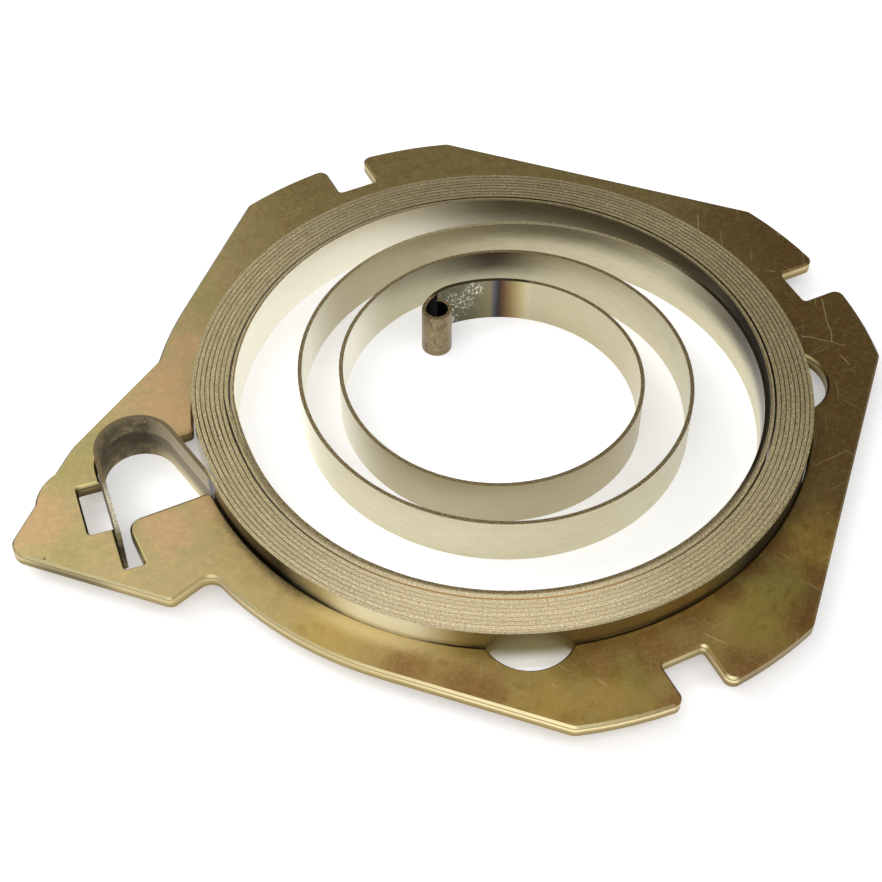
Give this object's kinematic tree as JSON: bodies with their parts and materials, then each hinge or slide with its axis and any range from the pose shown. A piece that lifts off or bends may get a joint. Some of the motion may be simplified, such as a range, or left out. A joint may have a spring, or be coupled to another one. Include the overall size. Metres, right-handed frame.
{
  "type": "spiral return spring",
  "caption": "Flat spiral return spring, tightly wound inside a stamped retainer plate, with its outer end hooked in the plate's lobe and its inner end rolled into an eye.",
  "frame": {"origin": "axis of the plate's round hole, in the plane of the plate's underside", "axes": "+Z along the winding axis, out of the plate's upper face; +X towards the plate's right-hand flat side and +Y towards its back flat side, so the lobe with the hook points between -X and -Y"},
  "size_m": [0.1086, 0.1046, 0.008],
  "materials": {
    "plated_steel": "yellow passivated zinc, satin, lightly scuffed",
    "spring_steel": "cold rolled strip, satin, pale straw temper tint, sheared edges"
  },
  "bodies": {
    "root": {"retainer_plate": "plated_steel", "spiral_spring": "spring_steel"}
  },
  "joints": []
}
